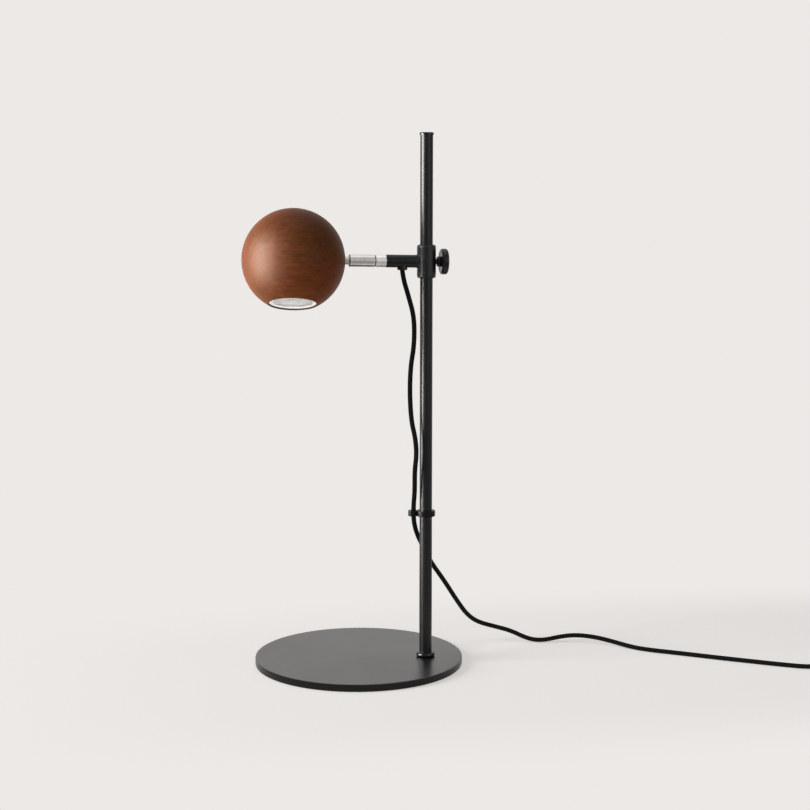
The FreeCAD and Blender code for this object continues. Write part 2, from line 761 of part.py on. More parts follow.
# ---- in-line switch, lying along its own X axis ----
def switch_block(shrink):
    """Rounded block: the switch's outer form, or its inside when shrunk."""
    corner = 8.0
    rim = 2.6
    length = SWITCH_LENGTH - 2 * shrink
    width = SWITCH_WIDTH - 2 * shrink
    block = box(length, width, shrink, SWITCH_HEIGHT - shrink)
    return round_rims(round_uprights(block, corner - shrink), rim - shrink)


def switch_half(low, high):
    slab = box(2 * SWITCH_LENGTH, 2 * SWITCH_WIDTH, low, high)
    shell = switch_block(0.0).common(slab).cut(switch_block(SWITCH_WALL))
    axis = Vector(0, 0, SWITCH_CORD_Z)
    return shell.cut(rod(ENTRY_R, axis - OUT * SWITCH_LENGTH, axis + OUT * SWITCH_LENGTH))


def screw_points():
    return [Vector(x, y, 0) for x in (-SWITCH_SCREW_X, SWITCH_SCREW_X)
            for y in (-SWITCH_SCREW_Y, SWITCH_SCREW_Y)]


def switch_base():
    """Lower half, with four screw posts and a sunk seat under each."""
    post_r = 2.6
    seat_top = 2.2
    half = switch_half(0.0, SWITCH_SPLIT)
    for point in screw_points():
        half = half.fuse(rod(post_r, point + UP, point + UP * SWITCH_SPLIT))
        half = half.cut(rod(1.2, point - UP, point + UP * (SWITCH_SPLIT + OVER)))
        half = half.cut(rod(2.3, point - UP, point + UP * seat_top))
    return on_floor(half.removeSplitter())


def switch_cover():
    """Upper half, with posts, the rocker's window and its two bearings."""
    post_r = 2.6
    split = SWITCH_SPLIT + PRESS
    half = switch_half(split, SWITCH_HEIGHT)
    for point in screw_points():
        half = half.fuse(rod(post_r, point + UP * split, point + UP * (SWITCH_HEIGHT - SWITCH_WALL + FIT)))
        half = half.cut(rod(1.0, point, point + UP * 13.0))
    window_y = 2 * ROCKER_Y + 1.0
    for side in (-1, 1):
        ear_y = side * (window_y / 2 + 0.9)
        half = half.fuse(box(3.4, 1.6, ROCKER_Z - 2.0, SWITCH_HEIGHT - SWITCH_WALL + FIT, 0, ear_y))
    half = half.cut(box(2 * ROCKER_X + 1.4, window_y, ROCKER_Z, SWITCH_HEIGHT + OVER))
    pin_end = SIDE * (window_y / 2 + 0.8)
    axis = UP * ROCKER_Z
    return on_floor(half.cut(rod(ROCKER_PIN_R + FIT, axis - pin_end, axis + pin_end)).removeSplitter())


def switch_rocker():
    """Rocker with a dished top and two stub pins."""
    end = ROCKER_X - 0.3
    outline = [(-ROCKER_X, 1.9), (-end, 5.0), (-4.6, 5.7), (0, 5.0), (4.6, 5.7), (end, 5.0),
               (ROCKER_X, 1.9), (4.5, -2.2), (-4.5, -2.2)]
    rocker = prism([Vector(x, -ROCKER_Y, z) for x, z in outline], SIDE * (2 * ROCKER_Y))
    pin_end = SIDE * (ROCKER_Y + 1.2)
    rocker = rocker.fuse(rod(ROCKER_PIN_R, -pin_end, pin_end)).removeSplitter()
    return on_floor(carried(rocker, UP * ROCKER_Z, FreeCAD.Rotation(SIDE, -ROCKER_TILT)))


def switch_screws():
    head_low = 0.5
    head_top = 2.2
    screws = []
    for point in screw_points():
        head = rod(2.1, point + UP * head_low, point + UP * head_top)
        shank = rod(0.95, point + UP * (head_top - 0.2), point + UP * 12.4)
        slot = box(1.0, 5.0, 0.0, 1.2, point.x, point.y)
        screws.append(head.fuse(shank).cut(slot).removeSplitter())
    return on_floor(joined(screws))


def switch_contacts():
    """A terminal and an upright blade under each end of the rocker."""
    low = SWITCH_WALL + 0.3
    terminal_x = 13.5
    parts = []
    for side in (-1, 1):
        terminal = box(8.0, 7.0, low, low + 3.4, side * terminal_x)
        blade = box(1.0, 5.0, low + 3.0, low + 6.2, side * (terminal_x - 3.0))
        parts.append(terminal.fuse(blade).removeSplitter())
    return on_floor(joined(parts))


def relief():
    """Tapered cord sleeve along +X from the origin: a neck, a grooved root and a plain tip."""
    neck_r = ENTRY_R - 0.1
    neck_length = 4.0
    root_r = 4.1
    groove = 0.7
    outline = [(CORD_R, -neck_length), (neck_r, -neck_length), (neck_r, 0), (root_r, 0)]
    for k in range(4):
        at = 2.0 + 3.6 * k
        wide = root_r - (root_r - RELIEF_TIP_R) * at / RELIEF_LENGTH
        outline += [(wide, at), (wide - groove, at + 0.5), (wide - groove, at + 1.2), (wide, at + 1.7)]
    outline += [(RELIEF_TIP_R, RELIEF_LENGTH), (CORD_R, RELIEF_LENGTH)]
    return turned(outline, Vector(0, 0, 0), OUT)


def switch_relief_in():
    end = Vector(-SWITCH_LENGTH / 2, 0, SWITCH_CORD_Z)
    return on_floor(placed(relief(), end, 180))


def switch_relief_out():
    end = Vector(SWITCH_LENGTH / 2, 0, SWITCH_CORD_Z)
    return on_floor(placed(relief(), end))


# ---- plug, pins pointing along +Y ----
def plug_body():
    """Flat moulded plug: wide at the pins and tapering to the cord."""
    half_w = PLUG_WIDTH / 2
    half_l = PLUG_LENGTH / 2
    tail = 6.5
    shoulder = 2.0
    outline = [(-half_w, half_l), (half_w, half_l), (half_w, shoulder), (tail, -half_l),
               (-tail, -half_l), (-half_w, shoulder)]
    body = prism([Vector(x, y, 0) for x, y in outline], UP * PLUG_THICK)
    body = round_rims(round_uprights(body, 3.0), 2.4)
    for start in pin_starts():
        body = body.cut(rod(PIN_SLEEVE_R + PRESS, start - SIDE * (PIN_DEEP + OVER), start + SIDE * OVER))
    tail_end = Vector(0, -half_l, PLUG_THICK / 2)
    return placed(body.cut(rod(ENTRY_R, tail_end - SIDE, tail_end + SIDE * 4.2)), PLUG_AT)


def pin_starts():
    return [Vector(side * PIN_SPACING / 2, PLUG_LENGTH / 2, PLUG_THICK / 2) for side in (-1, 1)]


def plug_pins():
    tip_start = PIN_LENGTH - PIN_BARE
    pins = []
    for start in pin_starts():
        root = rod(PIN_ROOT_R, start - SIDE * (PIN_DEEP + 0.8), start + SIDE * (tip_start + EDGE))
        tip = rod(PLUG_PIN_R, start + SIDE * tip_start, start + SIDE * PIN_LENGTH)
        pins.append(root.fuse(soften(tip, PLUG_PIN_R, EDGE)).removeSplitter())
    return placed(joined(pins), PLUG_AT)


def pin_sleeves():
    end = SIDE * (PIN_LENGTH - PIN_BARE - PRESS)
    inner = PIN_ROOT_R + PRESS
    sleeves = [tube(PIN_SLEEVE_R, inner, start - SIDE * PIN_DEEP, start + end) for start in pin_starts()]
    return placed(joined(sleeves), PLUG_AT)


def plug_relief():
    return placed(relief(), PLUG_AT + Vector(0, -PLUG_LENGTH / 2, PLUG_THICK / 2), -90)


# ---- coiled length of cord and its tie ----
def cord_coil():
    low = COIL_AT + UP * COIL_LIFT
    high = COIL_AT + UP * COIL_TOP_Z
    outer = COIL_OUTER_R + CORD_R
    inner = COIL_INNER_R - CORD_R
    rounding = CORD_R - 0.25
    return soften(soften(tube(outer, inner, low, high), outer, rounding), inner, rounding)


def cord_tie():
    """Flat band once round the bundle of turns."""
    band = 0.8
    depth = COIL_OUTER_R - COIL_INNER_R + 2 * CORD_R + band
    middle = (COIL_OUTER_R + COIL_INNER_R) / 2
    inner_low = COIL_LIFT - FIT
    inner_high = COIL_TOP_Z + 0.1
    outer = box(depth + 2 * band, TIE_WIDE, inner_low - band + FIT, inner_high + band, -middle)
    inner = box(depth, TIE_WIDE + OVER, inner_low, inner_high, -middle)
    return placed(outer.cut(inner), COIL_AT)


BUILDERS = [
    base_plate, base_pad, base_washer, base_screw, foot_insert, foot_collar, stem_tube, stem_cap,
    cable_clip, clamp_liner, clamp_body, arm_tube, cord_gland, arm_wires, coupling_ring, arm_magnet,
    coupling_washer, coupling_pin, pin_clip, coupling_sleeve, head_magnet, clamp_pad, knob_screw,
    thumb_knob, wood_ball, neck_nipple, neck_nut, lens_bezel, module_housing, spring_clips, front_lens,
    reflector, led_board, heat_sink, driver_bracket, driver_board, terminal_block, head_wires,
    switch_base, switch_cover, switch_rocker, switch_screws, switch_contacts, switch_relief_in,
    switch_relief_out, plug_body, plug_pins, pin_sleeves, plug_relief, cord_coil, cord_tie,
]
CORDS = {
    "cord_upper": UPPER_ROUTE,
    "cord_drop": DROP_ROUTE,
    "cord_floor": FLOOR_ROUTE,
    "cord_supply": SUPPLY_ROUTE,
    "cord_tail": TAIL_ROUTE,
}


def main():
    os.makedirs("parts", exist_ok=True)
    shapes = {build.__name__: build() for build in BUILDERS}
    for name, route in CORDS.items():
        shapes[name] = cord_tube(name, route)
    for name, shape in shapes.items():
        closed = all(solid.isClosed() for solid in shape.Solids)
        if not shape.isValid() or not shape.Solids or not closed:
            print(f"{name}: not a valid closed solid")
        shape.exportStep(f"parts/{name}.step")
    print(f"{len(shapes)} parts written")


main()
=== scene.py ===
import math

import bmesh
import bpy
from mathutils import Matrix, Vector


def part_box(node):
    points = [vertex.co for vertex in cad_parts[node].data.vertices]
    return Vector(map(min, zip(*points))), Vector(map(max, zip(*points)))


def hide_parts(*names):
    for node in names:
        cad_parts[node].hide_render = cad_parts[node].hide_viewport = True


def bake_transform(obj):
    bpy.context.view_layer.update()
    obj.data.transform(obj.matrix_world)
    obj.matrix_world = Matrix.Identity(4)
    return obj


# Looks of a table lamp: black stand and swing arm, nickel swivel, stained wooden ball head
# and a black textile cord.  Metres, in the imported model's own frame: +Z up, arm along -X.

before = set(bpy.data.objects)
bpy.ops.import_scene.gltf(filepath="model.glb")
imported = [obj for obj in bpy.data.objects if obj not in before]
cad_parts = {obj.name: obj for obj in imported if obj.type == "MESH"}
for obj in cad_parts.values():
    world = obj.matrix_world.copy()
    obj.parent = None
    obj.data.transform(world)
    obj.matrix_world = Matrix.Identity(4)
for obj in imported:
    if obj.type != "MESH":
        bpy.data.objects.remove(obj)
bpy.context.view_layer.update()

UP = Vector((0, 0, 1))


# ---------------------------------------------------------------- main sizes and places
def middle(node):
    """Middle of a CAD node's box."""
    low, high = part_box(node)
    return (Vector(low) + Vector(high)) / 2


HEAD_REACH = 0.1254          # stem axis to the ball's centre
BALL_R = 0.0480
MOUTH_R = 0.0225             # hole that the light module sits in
HEAD_ROLL = math.radians(18.2)         # the head's mouth is rolled towards the viewer
HEAD_LEAN = math.radians(2.3)          # and leans along the arm
ARM_RISE = math.radians(1)             # the arm rises towards the head
VIEW_TURN = math.radians(10.28)        # the camera's turn about the upright axis
STEM = Vector((middle("stem_tube").x, middle("stem_tube").y, 0))
ARM_Z = middle("clamp_liner").z
ARM_FRAME = Matrix.Translation(STEM + UP * ARM_Z) @ Matrix.Rotation(ARM_RISE, 4, "Y")


def on_arm(distance, rise=0.0):
    """Point at a distance from the stem along the arm's axis, and so far above it."""
    return ARM_FRAME @ Vector((-distance, 0, rise))


BALL = on_arm(HEAD_REACH)
HEAD_FRAME = (
    Matrix.Translation(BALL)
    @ Matrix.Rotation(ARM_RISE, 4, "Y")
    @ Matrix.Rotation(-HEAD_ROLL, 4, "X")
    @ Matrix.Rotation(HEAD_LEAN, 4, "Y")
)
VIEW_RIGHT = Vector((math.cos(VIEW_TURN), -math.sin(VIEW_TURN), 0))
VIEW_AWAY = Vector((math.sin(VIEW_TURN), math.cos(VIEW_TURN), 0))

# ---------------------------------------------------------------- camera
CAMERA_AT = (-0.24166, -1.58228, 0.46391)
CAMERA_PITCH = math.radians(7.562)
CAMERA_ROLL = math.radians(0.05)
FOCAL_PX = 1696.415
IMAGE_PX = 810
SENSOR_MM = 36.0

camera_data = bpy.data.cameras.new("camera")
camera_data.sensor_width = SENSOR_MM
camera_data.lens = FOCAL_PX / IMAGE_PX * SENSOR_MM
camera_data.clip_end = 50
camera = bpy.data.objects.new("camera", camera_data)
camera.matrix_world = (
    Matrix.Translation(CAMERA_AT)
    @ Matrix.Rotation(-VIEW_TURN, 4, "Z")
    @ Matrix.Rotation(math.pi / 2 - CAMERA_PITCH, 4, "X")
    @ Matrix.Rotation(CAMERA_ROLL, 4, "Z")
)
bpy.context.scene.collection.objects.link(camera)
bpy.context.scene.camera = camera


# ---------------------------------------------------------------- cords
CORD_R = 0.00225
CORD_SIDES = 20
UPPER_STEPS = 12             # points of the line for each stretch of the short moving cord
MAIN_STEPS = 6               # and of the long one
CLIP_REACH = 0.0118          # stem axis to the clip's eye
CLIP_Z = 0.1477
GLAND_AT = 0.0229            # stem axis to the gland, along the arm
GLAND_LOW = -0.0082          # where the cord enters the gland, from the arm's axis
SWITCH_TURN = math.radians(-12)
SWITCH_AT = Vector((0.5030, -0.1227, 0))
SWITCH_CORD_Z = 0.0066       # height of the cord's middle where it meets the switch
RELIEF_TIP = 0.0530          # switch's middle to the tip of its strain relief
COIL_AT = Vector((0.5860, -0.1110, 0))
COIL_INNER_R = 0.0238
COIL_OUTER_R = 0.0283
COIL_LIFT = 0.0009           # gap between the coil and the table
COIL_TOP_Z = COIL_LIFT + 6 * CORD_R      # three rows of cord
PLUG_AT = Vector((0.6110, -0.0330, 0))
PLUG_CORD_Z = 0.0069         # height of the cord's middle at the plug
PLUG_RELIEF_Y = -0.0390      # tip of the plug's strain relief, from the plug's middle


def lie(sideways, behind, height):
    """Cord point: sideways and behind are measured from the stem, as the camera sees them."""
    return STEM + VIEW_RIGHT * sideways + VIEW_AWAY * behind + UP * height


def switch_point(along, height=SWITCH_CORD_Z):
    """Point on the in-line switch's long axis."""
    return SWITCH_AT + Vector((math.cos(SWITCH_TURN), math.sin(SWITCH_TURN), 0)) * along + UP * height


CORD_MIDDLE = lie(-0.01135, -0.0060, 0.3230)     # where the moving cord meets the long one
CORD_TOP = on_arm(GLAND_AT, GLAND_LOW)
CLIP_EYE = lie(-CLIP_REACH, 0.0, CLIP_Z)

UPPER_ROUTE = [
    CORD_TOP,
    lie(-0.0218, -0.0044, 0.3723),
    lie(-0.0169, -0.0054, 0.3560),
    lie(-0.0114, -0.0058, 0.3360),
    CORD_MIDDLE,
]
DROP_ROUTE = [
    CORD_MIDDLE,
    lie(-0.0113, -0.0062, 0.3100),
    lie(-0.0147, -0.0052, 0.2900),
    lie(-0.0156, -0.0038, 0.2640),
    lie(-0.0140, -0.0050, 0.2370),
    lie(-0.0102, -0.0084, 0.2220),
    lie(-0.0089, -0.0094, 0.2060),
    lie(-0.0108, -0.0072, 0.1900),
    lie(-0.0106, -0.0052, 0.1700),
    lie(-0.0116, -0.0007, 0.1580),
    CLIP_EYE,
]
FLOOR_ROUTE = [
    lie(-0.0112, 0.0018, 0.1370),
    lie(-0.0081, 0.0092, 0.1245),
    lie(-0.0022, 0.0154, 0.1115),
    lie(0.0050, 0.0224, 0.0950),
    lie(0.0180, 0.0345, 0.0745),
    lie(0.0320, 0.0525, 0.0485),
    lie(0.0425, 0.0665, 0.0308),
    lie(0.0538, 0.0785, 0.0201),
    lie(0.0690, 0.0870, 0.0138),
    lie(0.0870, 0.0845, 0.0098),
    lie(0.1025, 0.0776, 0.0039),
    lie(0.1130, 0.0739, 0.0024),
    lie(0.1240, 0.0741, 0.0030),
    lie(0.1380, 0.0778, 0.0052),
    lie(0.1535, 0.0775, 0.0069),
    lie(0.1720, 0.0730, 0.0060),
    lie(0.1900, 0.0644, 0.0035),
    lie(0.2070, 0.0480, CORD_R),
    lie(0.2260, 0.0368, CORD_R),
    lie(0.2500, 0.0272, CORD_R),
    lie(0.2800, 0.0136, CORD_R),
    lie(0.3105, 0.0007, CORD_R),
    lie(0.3420, -0.0122, CORD_R),
    lie(0.3660, -0.0210, 0.0024),
    lie(0.3820, -0.0234, 0.0046),
    switch_point(-RELIEF_TIP),
]
SWITCH_ROUTE = [
    switch_point(-0.035),
    switch_point(0.0),
    switch_point(0.035),
    switch_point(RELIEF_TIP),
]
SUPPLY_ROUTE = [
    switch_point(RELIEF_TIP + 0.0080, 0.0062),
    switch_point(RELIEF_TIP + 0.0165, 0.0042),
]
TAIL_ROUTE = [
    COIL_AT + Vector((COIL_INNER_R + 0.0012, 0.0050, COIL_TOP_Z + CORD_R + 0.0004)),
    COIL_AT + Vector((COIL_INNER_R + 0.0022, 0.0130, COIL_TOP_Z + CORD_R + 0.0002)),
    COIL_AT + Vector((COIL_INNER_R + 0.0025, 0.0220, COIL_TOP_Z - 0.0003)),
    COIL_AT + Vector((COIL_INNER_R + 0.0018, 0.0310, COIL_TOP_Z - 0.0052)),
    PLUG_AT + Vector((0, PLUG_RELIEF_Y + 0.0005, PLUG_CORD_Z + 0.0001)),
    PLUG_AT + Vector((0, PLUG_RELIEF_Y + 0.0100, PLUG_CORD_Z)),
    PLUG_AT + Vector((0, PLUG_RELIEF_Y + 0.0250, PLUG_CORD_Z)),
]


def coil_route():
    """Turns of the coil in two columns and three rows, with a slow change of place in each turn."""
    per_turn = 24
    widen = 1 / math.cos(math.pi / per_turn)
    first, last = -102, 1795          # degrees: where the cord arrives, and where it leaves
    first_change = 120                # where the first change of place starts
    shift = 100                       # degrees taken by each change
    lead = 45                         # each starts this much earlier in its turn than the one before
    rows = [COIL_LIFT + CORD_R * (1 + 2 * k) for k in range(4)]
    slots = [
        (COIL_OUTER_R, rows[0]), (COIL_INNER_R, rows[0]), (COIL_INNER_R, rows[1]),
        (COIL_OUTER_R, rows[1]), (COIL_OUTER_R, rows[2]), (COIL_INNER_R, rows[2]),
        (COIL_INNER_R + 0.0005, rows[3] + 0.0004),
    ]
    points = []
    steps = round((last - first) / 360 * per_turn)
    for step in range(steps + 1):
        angle = first + (last - first) * step / steps
        radius, height = slots[0]
        for change in range(len(slots) - 1):
            start = first_change + (360 - lead) * change
            done = min(max((angle - start) / shift, 0), 1)
            done = (1 - math.cos(done * math.pi)) / 2
            radius += (slots[change + 1][0] - slots[change][0]) * done
            height += (slots[change + 1][1] - slots[change][1]) * done
        turn = math.radians(angle)
        points.append(COIL_AT + Vector((
            radius * widen * math.cos(turn), radius * widen * math.sin(turn), height)))
    return points


def nurbs_line(points, steps):
    """Points along the smooth curve that has the route's points as its control points."""
    curve = bpy.data.curves.new("route", "CURVE")
    curve.dimensions = "3D"
    curve.resolution_u = steps
    spline = curve.splines.new("NURBS")
    spline.points.add(len(points) - 1)
    for control, place in zip(spline.points, points):
        control.co = (*place, 1)
    spline.order_u = 3
    spline.use_endpoint_u = True
    holder = bpy.data.objects.new("route", curve)
    bpy.context.scene.collection.objects.link(holder)
    mesh = bpy.data.meshes.new_from_object(holder)
    line = [vertex.co.copy() for vertex in mesh.vertices]
    bpy.data.objects.remove(holder)
    bpy.data.curves.remove(curve)
    bpy.data.meshes.remove(mesh)
    return line


def add_piece(name, mesh, smooth=True):
    """Object for a mesh, linked into the scene."""
    piece = bpy.data.objects.new(name, mesh)
    bpy.context.scene.collection.objects.link(piece)
    if smooth:
        mesh.shade_smooth()
    return piece


def cord_tube(name, line):
    """Round tube along a line, with a UV map: turns round the cord, and metres along it."""
    build = bmesh.new()
    uv = build.loops.layers.uv.new("along")
    side = (line[1] - line[0]).orthogonal().normalized()
    rings = []
    lengths = []
    length = 0.0
    for k, place in enumerate(line):
        ahead = line[min(k + 1, len(line) - 1)] - line[max(k - 1, 0)]
        ahead.normalize()
        side = (side - ahead * side.dot(ahead)).normalized()
        across = ahead.cross(side)
        if k:
            length += (place - line[k - 1]).length
        lengths.append(length)
        ring = []
        for n in range(CORD_SIDES):
            turn = 2 * math.pi * n / CORD_SIDES
            outward = side * math.cos(turn) + across * math.sin(turn)
            ring.append(build.verts.new(place + outward * CORD_R))
        rings.append(ring)
    for k in range(len(line) - 1):
        for n in range(CORD_SIDES):
            following = (n + 1) % CORD_SIDES
            face = build.faces.new((
                rings[k][n], rings[k][following], rings[k + 1][following], rings[k + 1][n]))
            corners = ((n, k), (n + 1, k), (n + 1, k + 1), (n, k + 1))
            for loop, (turn, along) in zip(face.loops, corners):
                loop[uv].uv = (turn / CORD_SIDES, lengths[along])
    build.faces.new(rings[0][::-1])
    build.faces.new(rings[-1])
    bmesh.ops.recalc_face_normals(build, faces=build.faces)
    mesh = bpy.data.meshes.new(name)
    build.to_mesh(mesh)
    build.free()
    return add_piece(name, mesh)


upper_line = nurbs_line(UPPER_ROUTE, UPPER_STEPS)
upper_cord = cord_tube("arm_cord", upper_line)
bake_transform(upper_cord)
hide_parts("cord_upper")

main_line = nurbs_line(
    DROP_ROUTE + FLOOR_ROUTE + SWITCH_ROUTE + SUPPLY_ROUTE + coil_route() + TAIL_ROUTE, MAIN_STEPS)
main_cord = cord_tube("supply_cord", main_line)
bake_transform(main_cord)
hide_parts("cord_drop", "cord_floor", "cord_supply", "cord_coil", "cord_tail")


# ---------------------------------------------------------------- shader building
def add_node(tree, kind, inputs=None, **settings):
    """Adds a shader node; each input is given a plain value or another node's output."""
    node = tree.nodes.new("ShaderNode" + kind)
    for key, value in settings.items():
        setattr(node, key, value)
    for key, value in (inputs or {}).items():
        if isinstance(value, bpy.types.NodeSocket):
            tree.links.new(value, node.inputs[key])
        else:
            node.inputs[key].default_value = value
    return node


class Shader:
    """A material with one Principled shader, and short calls that add nodes to it."""

    def __init__(self, name, **constants):
        self.material = bpy.data.materials.new(name)
        self.material.use_nodes = True
        self.tree = self.material.node_tree
        self.surface = self.tree.nodes["Principled BSDF"]
        for socket, value in constants.items():
            self.surface.inputs[socket.replace("_", " ")].default_value = value

    def node(self, kind, inputs=None, **settings):
        return add_node(self.tree, kind, inputs, **settings)

    def math(self, operation, first, second=0.0):
        return self.node("Math", {0: first, 1: second}, operation=operation).outputs[0]

    def place(self, origin=(0, 0, 0), turn=(0, 0, 0), scale=(1, 1, 1)):
        """Object coordinates measured from origin, then turned and scaled."""
        coordinates = self.node("TexCoord").outputs["Object"]
        moved = self.node("VectorMath", {0: coordinates, 1: tuple(origin)}, operation="SUBTRACT")
        return self.node("Mapping", {
            "Vector": moved.outputs[0], "Rotation": turn, "Scale": scale}).outputs[0]

    def noise(self, place, scale, detail=3.0, rough=0.5):
        return self.node("TexNoise", {
            "Vector": place, "Scale": scale, "Detail": detail, "Roughness": rough}).outputs["Fac"]

    def spread(self, value, low, high, from_low=0.0, from_high=1.0):
        """Maps from_low..from_high to low..high, and holds the ends."""
        return self.node("MapRange", {
            "Value": value, "From Min": from_low, "From Max": from_high, "To Min": low,
            "To Max": high}).outputs["Result"]

    def ramp(self, value, *stops):
        """Colour for a value, from stops given as (position, colour)."""
        node = self.node("ValToRGB", {"Fac": value})
        elements = node.color_ramp.elements
        while len(elements) < len(stops):
            elements.new(0.5)
        for element, (position, tint) in zip(elements, stops):
            element.position = position
            element.color = (*tint, 1)
        return node.outputs["Color"]

    def mix(self, factor, first, second, blend="MIX"):
        """Colour mix; a Mix node keeps its colours in inputs 6 and 7 and in output 2."""
        first, second = [(*tint, 1) if isinstance(tint, tuple) else tint for tint in (first, second)]
        inputs = {0: factor, 6: first, 7: second}
        return self.node("Mix", inputs, data_type="RGBA", blend_type=blend).outputs[2]

    def finish(self, tint, rough=None, height=None, depth=0.0001, strength=1.0):
        """Links colour, roughness and relief to the surface; depth is the relief's height in metres."""
        surface = self.surface.inputs
        self.tree.links.new(tint, surface["Base Color"])
        if rough is not None:
            self.tree.links.new(rough, surface["Roughness"])
        if height is not None:
            bump = self.node("Bump", {"Height": height, "Distance": depth, "Strength": strength})
            self.tree.links.new(bump.outputs["Normal"], surface["Normal"])
        return self.material


def shade(tint, factor):
    """Tint made lighter or darker, and kept within white."""
    return tuple(min(channel * factor, 1.0) for channel in tint)


def grained(name, tint, rough, grain, depth, drift=0.2, **constants):
    """Tone that drifts slowly over the piece, with a fine even grain in gloss and relief."""
    shader = Shader(name, **constants)
    place = shader.place()
    slow = shader.noise(place, 35, 4, 0.6)
    fine = shader.noise(place, grain, 2, 0.5)
    blotch = shader.math("ADD", shader.math("MULTIPLY", slow, 0.7), shader.math("MULTIPLY", fine, 0.3))
    colour = shader.ramp(blotch, (0.3, shade(tint, 1 - drift)), (0.7, shade(tint, 1 + drift)))
    gloss = shader.spread(slow, rough - 0.05, rough + 0.05, 0.3, 0.7)
    return shader.finish(colour, gloss, fine, depth)


def dress(material, *nodes):
    """Gives carried-over CAD pieces a material."""
    for name in nodes:
        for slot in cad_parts[name].material_slots:
            slot.material = material


# ---------------------------------------------------------------- materials: stand and arm
COAT_DARK = (0.0085, 0.0085, 0.0088)
COAT_LIGHT = (0.0125, 0.0125, 0.0128)
CAST_LIGHT = (0.0145, 0.0145, 0.0148)
RIM_FADE = 0.0006            # height over which the sheen falls off at a plate's rim
RIM_SHEEN = 0.2              # share of the sheen that is left below it
RIM_DROP = 0.0001            # the full sheen starts this far below a plate's top face


def powder_coat(name, specular, low_gloss, high_gloss, relief, rim_top=None):
    """Satin black powder coat: fine orange peel over a tone and a gloss that drift slowly.

    With rim_top, the sheen is full above that height and falls off just below it.
    """
    shader = Shader(name, Specular_IOR_Level=specular)
    place = shader.place()
    slow = shader.noise(place, 9, 4, 0.6)
    peel = shader.noise(place, 900, 2, 0.4)
    colour = shader.ramp(slow, (0.3, COAT_DARK), (0.7, COAT_LIGHT))
    gloss = shader.spread(slow, low_gloss, high_gloss, 0.3, 0.7)
    if rim_top:
        height = shader.node("SeparateXYZ", {0: place}).outputs[2]
        shine = shader.spread(height, RIM_SHEEN * specular, specular, rim_top - RIM_FADE, rim_top)
        shader.tree.links.new(shine, shader.surface.inputs["Specular IOR Level"])
    return shader.finish(colour, gloss, peel, relief, 0.4)


def cast_black():
    """Semi-gloss black over a slightly rough casting."""
    shader = Shader("cast_black", Specular_IOR_Level=0.35)
    place = shader.place()
    lumps = shader.noise(place, 520, 4, 0.65)
    grit = shader.noise(place, 2400, 2, 0.5)
    relief = shader.math("ADD", lumps, shader.math("MULTIPLY", grit, 0.35))
    colour = shader.ramp(lumps, (0.35, COAT_DARK), (0.7, CAST_LIGHT))
    gloss = shader.spread(lumps, 0.28, 0.42, 0.3, 0.7)
    return shader.finish(colour, gloss, relief, 0.00008, 0.7)


PAINTED_END_SHADE_LENGTH = 0.0008         # length of the painted shade at a sleeve's end, and of the fade after it
PAINTED_END_SHADE_FADE = 0.0003


def brushed(name, tint, rough, axis_scale, painted_shade_end=None, **constants):
    """Metal turned on a lathe: fine rings, slow tarnish, and perhaps painted shade at one end.

    axis_scale is the rings' noise scale along each axis; painted_shade_end is the x where the painted
    shade starts.
    """
    shader = Shader(name, Metallic=1.0, **constants)
    rings = shader.noise(shader.place(scale=axis_scale), 1.0, 4, 0.7)
    tarnish = shader.noise(shader.place(), 130, 4, 0.6)
    colour = shader.ramp(tarnish, (0.3, shade(tint, 0.90)), (0.7, shade(tint, 1.06)))
    # Painted shade: a short dark band at the sleeve's end stands in for the shade there.
    if painted_shade_end:
        along = shader.node("SeparateXYZ", {0: shader.place()}).outputs[0]
        painted_shade_to = painted_shade_end + PAINTED_END_SHADE_LENGTH
        painted_end_shade = shader.spread(along, 0.85, 0.0, painted_shade_to, painted_shade_to + PAINTED_END_SHADE_FADE)
        colour = shader.mix(painted_end_shade, colour, shade(tint, 0.12))
    gloss = shader.spread(rings, rough - 0.07, rough + 0.07, 0.3, 0.7)
    return shader.finish(colour, gloss, rings, 0.000003, 0.5)


WOOD_DARK = (0.200, 0.049, 0.0085)
WOOD_MIDDLE = (0.310, 0.081, 0.0135)
WOOD_LIGHT = (0.425, 0.122, 0.0210)
WOOD_LINE = (0.090, 0.021, 0.0050)
RING_PHASE = 2 * math.pi / 0.0031    # growth lines 3.1 mm apart
RING_WARP = 14.0                     # how far slow noise pushes them about, in radians
PAINTED_MOUTH_SHADE = (0.070, 0.050, 0.038)  # painted shade on the wall of the hole that the light module sits in
PAINTED_SHADE_SIDE = (0.77, -0.10, 0.63)      # painted shade: the ball gets darker towards the arm's side and the top
WOOD_LEAN = (math.radians(-6), math.radians(5), math.radians(4))
HEART = BALL + Vector((0.02, 0.24, -0.17))       # a point on the axis of the growth rings


def wood_noise(shader, scale, detail, rough):
    """Noise laid along the wood's grain, with its own scale along, across and up."""
    return shader.noise(shader.place(BALL, WOOD_LEAN, scale), 1.0, detail, rough)


def growth_lines(shader):
    """Dark lines at even steps from the heart, bent by slow noise and fading in and out."""
    warp = wood_noise(shader, (14, 30, 30), 3, 0.55)
    rings = shader.node("SeparateXYZ", {0: shader.place(HEART, WOOD_LEAN)})
    reach = shader.node("CombineXYZ", {"Y": rings.outputs[1], "Z": rings.outputs[2]}).outputs[0]
    reach = shader.node("VectorMath", {0: reach}, operation="LENGTH").outputs["Value"]
    bend = shader.math("MULTIPLY", warp, RING_WARP)
    phase = shader.math("ADD", shader.math("MULTIPLY", reach, RING_PHASE), bend)
    line = shader.math("ADD", shader.math("MULTIPLY", shader.math("SINE", phase), 0.5), 0.5)
    line = shader.math("POWER", line, 2.2)
    fade = shader.spread(wood_noise(shader, (16, 30, 60), 3, 0.5), 0.0, 1.0, 0.36, 0.66)
    return shader.math("MULTIPLY", line, fade)


